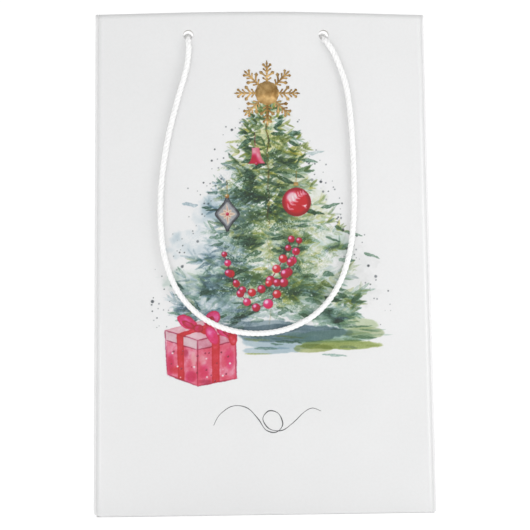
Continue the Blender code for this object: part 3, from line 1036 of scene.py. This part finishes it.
# garland of berries in three swags
for (x0, z0), (x1, z1), sag in (
    ((-23.0, 155.0), (23.0, 166.0), 36),
    ((-20.0, 144.0), (18.0, 167.0), 21),
    ((3.0, 138.0), (21.0, 160.0), 7),
):
    rope = []
    for q in np.linspace(0, 1, 60):
        drop = 4 * sag * q * (1 - q) * (1 - 0.25 * (q - 0.5))
        rope.append((x0 + (x1 - x0) * q, z0 + (z1 - z0) * q - drop))
    for (ax, az), (bx, bz) in zip(rope[::2], rope[2::2]):
        thread([(ax, az), (bx, bz)], WINE, 0.25, 0.6)
    run = run_along(rope)
    far = 0.0
    while far < run[-1]:
        x, z = np.interp(far, run, [p[0] for p in rope]), np.interp(far, run, [p[1] for p in rope])
        low = 1 - min(abs(far / run[-1] - 0.5) * 2, 1)
        radius = rng.uniform(1.65, 2.15) + 0.85 * low
        ball(x + rng.normal(0, 0.3), z + rng.normal(0, 0.3), radius,
             (CRIMSON, PINK, SCARLET, CRIMSON)[rng.integers(4)], rng.uniform(0.8, 1.1))
        far += 2 * radius + rng.uniform(1.4, 3.0)

# bell on a thread
thread([(-4.2, 229), (-4.0, 220)], WINE, 0.2, 0.6)
box, dx, dz = around(-3.4, 214.6, 8)
flare = 2.0 + 0.55 * np.exp((-dz) * 0.36) + 0.9 * ease((dz + 5) / -1.5)
depth = np.minimum(np.minimum(4.9 - dz, dz + 4.6), flare + 0.2 - np.abs(dx + 0.08 * dz))
body(box, depth, ROSE, 1.0, patchy=1.2)
inside = (np.abs(dz) < 4.9) * (np.abs(dx) < flare)
brush(box, 0.9 * ease((flare - np.abs(dx + 1.4)) / 2.2) * ease(dz / -3 + 0.6) * inside, CRIMSON)
lift(np.exp(-(((dx - 0.9) / 0.9) ** 2) - ((dz - 0.5) / 1.8) ** 2), box, 0.45)
ball(-3.3, 209.8, 0.9, CRIMSON)

# round bauble with a pale sprig
thread([(20.6, 206), (20.3, 198)], GILT, 0.2, 0.8)
ball(20.4, 186.6, 8.6, SCARLET, 1.05)
box, dx, dz = around(20.4, 186.6, 9.5)
brush(box, 0.5 * ease((np.hypot(dx, dz) - 5.6) / 2.6) * (np.hypot(dx, dz) < 8.5), WINE)
lift(np.exp(-(((dx + 3.4) / 2.6) ** 2) - ((dz - 3.6) / 2.0) ** 2), box, 0.35)
for k in range(7):
    q = k / 6
    stem_x, stem_z = 15.4 + 9.2 * q, 182.6 + 8.6 * q + 2.2 * math.sin(3 * q)
    for turn in (0.95, -0.85):
        dab(stem_x, stem_z, 3.6 - 1.2 * q, 1.25, 0.75 + turn, BARE, 1.5, bend=0.1 * turn)
    dab(stem_x, stem_z, 2.2, 0.4, 0.72, BARE, 1.5)
for k in range(4):
    dab(23.5 + 0.9 * k, 184.6 - 0.7 * k, 2.6, 1.0, -0.5 + 0.8 * k, BARE, 1.4)
plane([(18.6, 196.2), (21.8, 196.2), (21.4, 198.4), (19.0, 198.4)], GILT, 0.9)

# drop ornament with a flower
thread([(-21.2, 200), (-21.0, 190.5)], GILT, 0.2, 0.8)
box, dx, dz = around(-21.0, 179.5, 12.5)
waist = 7.3 * np.exp(-((np.abs(dz) / 6.2) ** 1.7)) + 0.15
body(box, np.minimum(waist - np.abs(dx), 10.5 - np.abs(dz)), SOOT, 0.9, rim=0.9, patchy=1.0)
lift(ease((waist - 1.3 - np.abs(dx)) / 0.8) * (0.45 + 0.5 * MOTTLE[box]) * (np.abs(dz) < 7), box, 0.9)
for k in range(8):
    turn = k * math.pi / 4
    long = 6.2 if k % 4 == 2 else (5.0 if k % 2 == 0 else 3.6)
    for _ in range(2):
        dab(-21.0, 179.5, long, 2.2, turn, tone(246, 232, 214), 1.4)
    dab(-21.0 + 0.5 * math.cos(turn), 179.5 + 0.5 * math.sin(turn), long * 0.7, 0.5, turn,
        tone(196, 120, 110), 0.8)
ball(-21.0, 179.5, 0.9, CRIMSON)
ball(-21.1, 190.3, 1.3, GILT)

# gift box with a ribbon and bow
front_edge = -39.2  # the box's upright edge that stands nearest
plane([(-56.8, 84.4), (front_edge, 77.4), (front_edge, 99.5), (-57.6, 105.5)], ROSE, 1.05, patchy=1.3)
plane([(front_edge, 77.4), (-16.4, 81.8), (-16.8, 105.0), (front_edge, 99.5)], ROSE, 1.25, patchy=1.1)
for x, z, wide, high, paint, strength in (
    (-55.0, 90, 2.6, 8, CRIMSON, 0.55), (-43.0, 83, 4.0, 4, CRIMSON, 0.7), (-52, 87, 5, 3.5, SCARLET, 0.7),
    (-35.5, 86, 4.0, 5, PINK, 0.7), (-20.5, 93, 3.5, 8, PINK, 0.7), (-34.0, 80, 6, 2, WINE, 0.35),
    (-41.5, 94, 2.0, 6, BLUSH, 1.2), (-36.5, 93, 2.6, 5, BLUSH, 0.9), (-46.0, 97, 2.0, 3, WINE, 0.35),
):
    wash(x, z, wide, high, paint, strength, ragged=0.8, soft=0.6)
plane([(-58.2, 104.6), (front_edge, 98.6), (front_edge, 104.4), (-58.4, 110.6)], tone(222, 176, 186), 0.95)
plane([(front_edge, 98.6), (-15.8, 104.2), (-15.8, 109.9), (front_edge, 104.4)], tone(214, 128, 150), 1.0)
plane([(-58.4, 110.6), (front_edge, 104.4), (-15.8, 109.9), (-36.0, 116.2)], tone(232, 170, 182), 0.9)
for ends in (
    ((-58.4, 110.6), (front_edge, 104.4), (-15.8, 109.9)),
    ((-57.8, 104.6), (front_edge, 98.7), (-16.2, 104.1)),
    ((-58.4, 110.4), (-58.2, 104.8), (-57.0, 84.6), (front_edge, 77.5), (-16.4, 81.8), (-16.6, 104.0),
     (-15.9, 109.7)),
    ((front_edge, 104.4), (front_edge, 77.6)),
):
    thread(ends, WINE, 0.28, 0.55)
for band in (
    [(-50.6, 82.3), (-47.0, 81.0), (-47.6, 106.9), (-51.4, 108.2)],
    [(-30.6, 79.2), (-26.4, 80.0), (-26.2, 107.3), (-30.8, 106.4)],
    [(-51.2, 108.2), (-47.6, 106.9), (-27.0, 113.2), (-31.0, 114.6)],
    [(-30.8, 106.4), (-26.2, 107.3), (-44.6, 114.8), (-48.4, 113.6)],
):
    plane(band, SCARLET, 1.15, rim=0.5, patchy=0.8)
for x, z, wide, high, tilt, paint in (
    (-45.2, 115.0, 6.4, 3.5, -0.55, PINK), (-44.6, 113.6, 4.2, 1.7, -0.5, CRIMSON),
    (-30.6, 116.8, 5.6, 4.0, 0.75, PINK), (-31.6, 115.6, 3.4, 1.8, 0.8, CRIMSON),
    (-22.0, 108.6, 6.0, 2.6, -0.35, PINK), (-21.0, 107.8, 3.8, 1.2, -0.4, CRIMSON),
    (-30.6, 107.4, 3.2, 6.2, 0.45, PINK), (-18.4, 104.6, 2.2, 3.6, 0.3, SCARLET),
    (-38.6, 111.4, 3.0, 2.3, 0.1, CRIMSON),
):
    box, dx, dz = around(x, z, max(wide, high) + 2)
    c, s = math.cos(tilt), math.sin(tilt)
    u, v = (dx * c + dz * s) / wide, (dz * c - dx * s) / high
    depth = (1 - np.sqrt(u * u + v * v)) * min(wide, high) + 0.9 * (MOTTLE[box] - 0.5)
    body(box, depth, paint, 1.0, rim=0.7, patchy=1.2)
    lift(np.exp(-(((u + 0.25) / 0.35) ** 2) - ((v - 0.35) / 0.3) ** 2), box, 0.5)
for k in range(26):
    x = rng.uniform(-57, -18)
    z = rng.uniform(80, 99)
    ball(x, z, rng.uniform(0.25, 0.6), WINE if k % 3 else BARE, 0.8)

# ---- film of ink -------------------------------------------------------------------------
# The canvas is laid on the front face under the gloss, as three very thin sheets
# that are cut away where the paper is bare. Each carries its colours point by point.


def ink_at(x, z):
    """How much light the ink holds back at places on the face, in millimetres."""
    i = np.clip((x - LEFT) * DOTS - 0.5, 0, COLUMNS - 1.001)
    j = np.clip((z - LOW) * DOTS - 0.5, 0, ROWS - 1.001)
    i0, j0 = i.astype(int), j.astype(int)
    fi, fj = (i - i0)[:, None], (j - j0)[:, None]
    low = ink[j0, i0] * (1 - fi) + ink[j0, i0 + 1] * fi
    high = ink[j0 + 1, i0] * (1 - fi) + ink[j0 + 1, i0 + 1] * fi
    return low * (1 - fj) + high * fj


def ink_finish():
    """The laminated paper with the ink's own colours, which the film carries as an attribute."""
    made = outer_paper.copy()
    made.name = "printed_ink"
    tree = made.node_tree
    shader = tree.nodes["Principled BSDF"]
    stock = shader.inputs["Base Color"].links[0].from_socket
    colour = tree.nodes.new("ShaderNodeAttribute")
    colour.attribute_name = "ink"
    tree.links.new(multiplied(tree, stock, colour.outputs["Color"], 1.0), shader.inputs["Base Color"])
    return made


FILM = 0.00007  # how far the film stands proud of the paper
DROP = 0.0026  # how far under the canvas's own heights the picture is printed
CELL = 0.31  # millimetres between the film's points
DENSITY = 2.2
BARE_LIMIT = 0.012  # less ink than this is bare paper
UPPER_CUT, LOWER_CUT = 186.0, 138.0
printed_ink = ink_finish()
for word, low, high in (
    ("top", UPPER_CUT, TOP - 1), ("middle", LOWER_CUT, UPPER_CUT), ("low", LOW + 1, LOWER_CUT),
):
    wide, tall = RIGHT - LEFT - 2, high - low
    shape = bmesh.new()
    bmesh.ops.create_grid(shape, x_segments=round(wide / CELL), y_segments=round(tall / CELL), size=0.5)
    bmesh.ops.scale(shape, verts=shape.verts, vec=(wide, tall, 1.0))
    bmesh.ops.translate(shape, verts=shape.verts, vec=((LEFT + RIGHT) / 2, (low + high) / 2, 0.0))
    middles = np.array([f.calc_center_median()[:2] for f in shape.faces])
    inked = ink_at(middles[:, 0], middles[:, 1]).max(axis=1) > BARE_LIMIT
    blank = [f for f, keep in zip(shape.faces, inked) if not keep]
    bmesh.ops.delete(shape, geom=blank, context="FACES")
    mesh = bpy.data.meshes.new(f"{word}_of_print")
    shape.to_mesh(mesh)
    shape.free()
    spots = np.empty(len(mesh.vertices) * 3)
    mesh.vertices.foreach_get("co", spots)
    spots = spots.reshape(-1, 3)
    shown = np.ones((len(spots), 4), np.float32)
    shown[:, :3] = np.exp(-DENSITY * ink_at(spots[:, 0], spots[:, 1]))
    mesh.attributes.new("ink", "FLOAT_COLOR", "POINT").data.foreach_set("color", shown.ravel())
    flat = np.full(len(spots), -HALF_D)
    face = np.stack([spots[:, 0] / 1000, flat, spots[:, 1] / 1000 - DROP], axis=1)
    laid = settle(face)
    laid[:, 1] -= FILM
    mesh.vertices.foreach_set("co", laid.ravel())
    mesh.shade_smooth()
    mesh.materials.append(printed_ink)
    print_film = link(f"{word}_of_print", mesh)
    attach(print_film, "front")

# ---- gold snowflake ------------------------------------------------------------------------
# Stamped in gold foil over the tip of the fir: a round heart and eight arms,
# each with four pairs of budded twigs. It is drawn in millimetres, then placed.
FLAKE_X, FLAKE_Z = 0.0035, 0.2500
HEART, TIP = 7.2, 18.6  # reach of the heart and of the arms
FOIL, FOIL_PROUD = 0.00005, 0.00016  # thickness, and height over the paper


def twig(root, angle, long, thick, bud_wide):
    """Outline of one twig on the arm's left side, from its outer edge near the heart round its bud."""
    d = np.array((math.cos(angle), math.sin(angle)))
    n = np.array((-d[1], d[0]))
    start = np.array((root, 0.30))
    bud = start + d * long * 0.78
    return [
        start + n * thick + d * 0.25, start + d * long * 0.52 + n * thick, bud + n * bud_wide,
        start + d * long, bud - n * bud_wide, start + d * long * 0.52 - n * thick,
        start - n * thick + d * 0.45,
    ]


def foil_finish():
    """Worn antique gold."""
    made, tree, shader, where = ground_look("gold_foil", (0.43, 0.25, 0.07), 0.36)
    shader.inputs["Metallic"].default_value = 0.55
    mottle = noise(tree, where, 260.0, 5.0)
    tone = blend_tones(tree, mottle, (0.27, 0.145, 0.035), (0.62, 0.41, 0.17), 0.35, 0.66)
    tree.links.new(tone, shader.inputs["Base Color"])
    relief(tree, shader, mottle, 0.00003, 0.6)
    return made


half_arm = [np.array((HEART, 0.60))]
for root, angle, long, thick, bud_wide in (
    (7.9, 0.98, 3.0, 0.42, 0.62), (10.0, 0.90, 5.4, 0.52, 1.15), (13.2, 0.85, 3.0, 0.42, 0.60),
    (15.4, 0.72, 3.6, 0.52, 0.95),
):
    half_arm += twig(root, angle, long, thick, bud_wide)
half_arm.append(np.array((18.2, 0.72)))
flake = bmesh.new()
heart = []
for k in range(8):
    turn = k * math.pi / 4
    tip = np.array((TIP + (1.6 if k % 2 == 0 else 1.0), 0.0))
    corners = []
    for along, off in [p * (1, -1) for p in half_arm] + [tip] + half_arm[::-1]:
        u = along * math.cos(turn) - off * math.sin(turn)
        v = along * math.sin(turn) + off * math.cos(turn)
        corners.append(flake.verts.new((u, 0, v)))
    flake.faces.new(corners)
    heart += [corners[0], corners[-1]]
    for share in (0.25, 0.5, 0.75):
        middle = turn + share * math.pi / 4
        far = HEART * (0.97 if share == 0.5 else 1.02)
        heart.append(flake.verts.new((far * math.cos(middle), 0, far * math.sin(middle))))
flake.faces.new(heart)
flake.normal_update()
bmesh.ops.triangulate(flake, faces=flake.faces[:], ngon_method="EAR_CLIP")
for vert in flake.verts:
    vert.co = (FLAKE_X + vert.co.x / 1000, -HALF_D - FOIL_PROUD, FLAKE_Z + vert.co.z / 1000)
bmesh.ops.recalc_face_normals(flake, faces=flake.faces)
if flake.faces[0].normal.y > 0:
    bmesh.ops.reverse_faces(flake, faces=flake.faces)
snowflake = finish_sheet("foil_snowflake", flake, (foil_finish(),), FOIL, even=False)
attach(snowflake, "front")

# ---- pen flourish ---------------------------------------------------------------------------
# A plain swash in dark ink under the picture, with one loop and no letters.
# The nib presses harder in the middle of the stroke.
FLOURISH = (
    (-30.0, 52.0), (-26.5, 58.0), (-19.0, 63.0), (-10.5, 62.0), (-4.0, 55.5), (0.5, 49.0),
    (6.5, 47.6), (10.4, 52.0), (8.0, 58.4), (2.4, 60.0), (-1.2, 55.4), (2.6, 49.6),
    (10.0, 48.6), (17.0, 53.4), (23.0, 59.0), (28.0, 61.4), (33.0, 59.6),
)
NIB = 0.00026
PEN_FLAT = 0.12  # the tube is pressed to this share of its thickness
PEN_PROUD = 0.00005


def pen_finish():
    """Near-black ink that has pooled unevenly, under the gloss."""
    made, tree, shader, where = ground_look("pen_ink", (0.045, 0.05, 0.055), 0.45)
    shader.inputs["Coat Weight"].default_value = 0.5
    shader.inputs["Coat Roughness"].default_value = 0.12
    pooled = noise(tree, where, 300.0, 2.0)
    tone = blend_tones(tree, pooled, (0.03, 0.033, 0.037), (0.09, 0.095, 0.10))
    tree.links.new(tone, shader.inputs["Base Color"])
    return made


stroke = evenly([np.array((x / 1000, -HALF_D, z / 1000)) for x, z in FLOURISH], 0.0006)
pen = round_curve("pen_flourish", NIB, 2)
spline = pen.splines.new("POLY")
spline.points.add(len(stroke) - 1)
for k, (point, place) in enumerate(zip(spline.points, stroke)):
    pressure = math.sin(math.pi * k / (len(stroke) - 1)) * (0.6 + 0.4 * math.sin(0.35 * k))
    point.co = (*place, 1.0)
    point.radius = 0.55 + 0.75 * pressure
mesh = mesh_of_curve("pen_flourish", pen)
line = np.empty(len(mesh.vertices) * 3)
mesh.vertices.foreach_get("co", line)
line = line.reshape(-1, 3)
thin = (line[:, 1] + HALF_D) * PEN_FLAT
line[:, 1] = -HALF_D
laid = settle(line)
laid[:, 1] += thin - PEN_PROUD
mesh.vertices.foreach_set("co", laid.ravel())
mesh.shade_smooth()
mesh.materials.clear()
mesh.materials.append(pen_finish())
flourish = link("pen_flourish", mesh)
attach(flourish, "front")

# ---- stage and light -------------------------------------------------------------------
# A plain white floor and a pale studio, paler behind the bag than in front of it.
# One soft light stands close at the right and one low at the left.
floor_mesh = bpy.data.meshes.new("floor")
floor_shape = bmesh.new()
bmesh.ops.create_grid(floor_shape, x_segments=1, y_segments=1, size=6.0)
just_under = (0.0, 0.0, -0.0001)
bmesh.ops.translate(floor_shape, verts=floor_shape.verts, vec=just_under)
floor_shape.to_mesh(floor_mesh)
floor_shape.free()
floor = link("floor", floor_mesh)
floor_look, _, floor_shader, _ = ground_look("floor", (0.9, 0.9, 0.9), 0.9)
floor_shader.inputs["Emission Color"].default_value = (1.0, 1.0, 1.0, 1.0)
floor_shader.inputs["Emission Strength"].default_value = 0.3
floor_mesh.materials.append(floor_look)

sky = bpy.data.worlds.new("studio")
sky.use_nodes = True
background = sky.node_tree.nodes["Background"]
toward = sky.node_tree.nodes.new("ShaderNodeTexCoord").outputs["Generated"]
parts = sky.node_tree.nodes.new("ShaderNodeSeparateXYZ")
sky.node_tree.links.new(toward, parts.inputs["Vector"])
fall = sky.node_tree.nodes.new("ShaderNodeMapRange")
fall.interpolation_type = "SMOOTHSTEP"
fall.inputs["From Min"].default_value, fall.inputs["From Max"].default_value = -0.75, 0.1
fall.inputs["To Min"].default_value, fall.inputs["To Max"].default_value = 0.60, 1.06
sky.node_tree.links.new(parts.outputs["Y"], fall.inputs["Value"])
sky.node_tree.links.new(fall.outputs["Result"], background.inputs["Strength"])
background.inputs["Color"].default_value = (1.0, 1.0, 1.0, 1.0)
scene.world = sky
scene.view_settings.view_transform = "Standard"


def softbox(name, place, target, size, power):
    """A rectangular soft light at place, turned towards target."""
    light = bpy.data.lights.new(name, "AREA")
    light.shape = "RECTANGLE"
    light.size, light.size_y = size
    light.energy = power
    made = link(name, light)
    made.location = place
    made.rotation_mode = "QUATERNION"
    made.rotation_quaternion = (Vector(target) - Vector(place)).to_track_quat("-Z", "Y")
    return made


softbox("key_softbox", (0.45, -0.40, 0.18), (0.06, -0.05, 0.15), (0.25, 0.35), 0.55)
softbox("low_fill", (-0.30, -0.62, 0.02), (0.0, -0.05, 0.12), (0.3, 0.3), 0.75)
